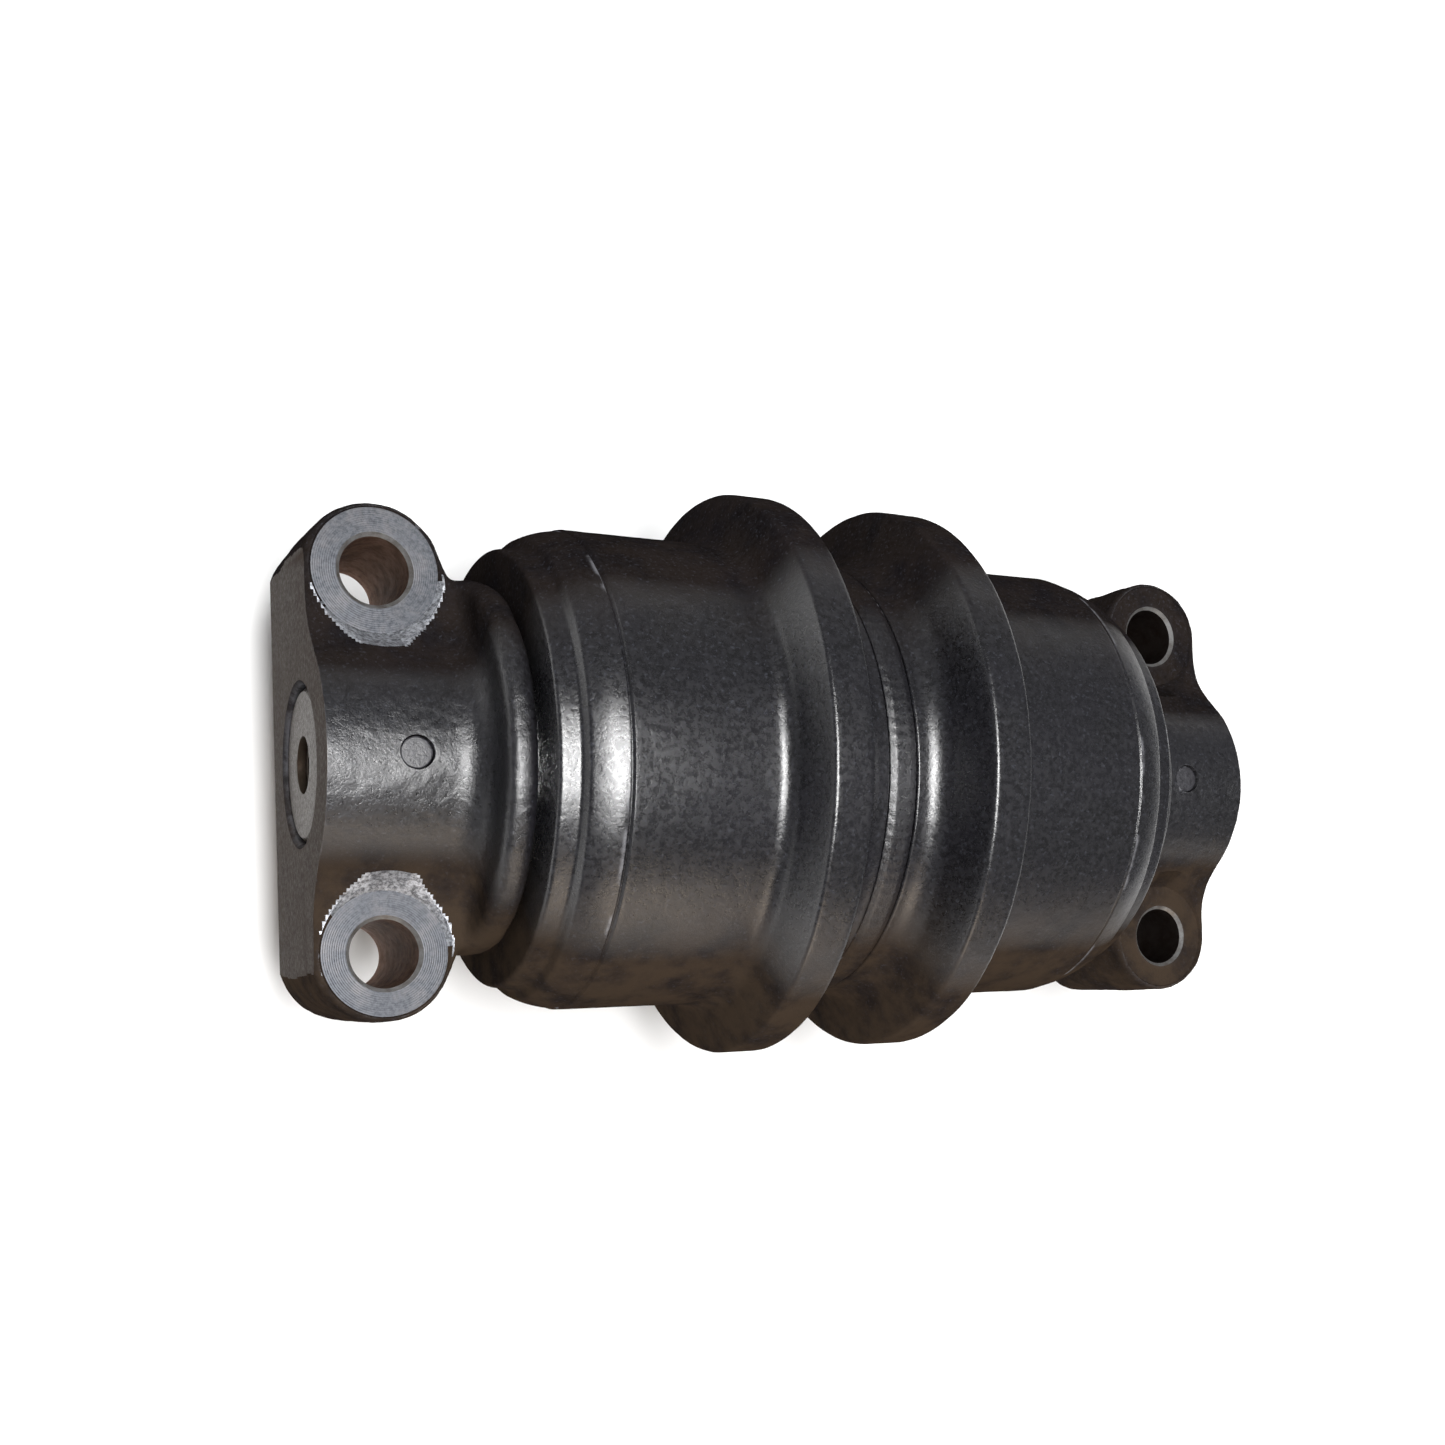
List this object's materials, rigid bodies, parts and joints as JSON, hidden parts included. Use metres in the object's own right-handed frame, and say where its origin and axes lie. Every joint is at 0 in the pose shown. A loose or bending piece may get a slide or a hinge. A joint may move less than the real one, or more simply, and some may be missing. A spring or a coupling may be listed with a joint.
{
  "type": "track roller",
  "caption": "Bottom track roller for a crawler machine: a welded shell with centre flanges turns on an oil-filled shaft held by bolt-on collars.",
  "frame": {"origin": "on the roller's axis, midway between the two collars", "axes": "+X along the roller's axis, +Z towards the bolt heads' side, so the mount faces look along -Z"},
  "size_m": [0.283, 0.1576, 0.1576],
  "materials": {
    "shell_steel": "black paint over forged and turned steel, oily sheen",
    "weld_steel": "black paint over a ripple weld",
    "collar_steel": "coarse black forged skin, bare grey machined bolt seats",
    "ground_steel": "ground steel with a brown film on the end faces",
    "pin_steel": "dull steel",
    "bronze": "plain bronze bearing lining",
    "seal_steel": "lapped seal steel",
    "seal_rubber": "matt black rubber"
  },
  "bodies": {
    "mounted_side": {"shaft": "ground_steel", "left_collar": "collar_steel", "right_collar": "collar_steel", "left_lock_pin": "pin_steel", "right_lock_pin": "pin_steel", "left_collar_o_ring": "seal_rubber", "right_collar_o_ring": "seal_rubber", "left_fixed_seal_ring": "seal_steel", "right_fixed_seal_ring": "seal_steel", "left_fixed_toric": "seal_rubber", "right_fixed_toric": "seal_rubber", "oil_plug": "pin_steel"},
    "roller": {"left_shell_half": "shell_steel", "right_shell_half": "shell_steel", "centre_weld": "weld_steel", "left_bush": "bronze", "right_bush": "bronze", "left_turning_seal_ring": "seal_steel", "right_turning_seal_ring": "seal_steel", "left_turning_toric": "seal_rubber", "right_turning_toric": "seal_rubber"}
  },
  "joints": [
    {"name": "roller_spin", "type": "hinge", "parent": "mounted_side", "child": "roller", "pos_m": [0, 0, 0], "axis": [1, 0, 0], "continuous": true}
  ]
}
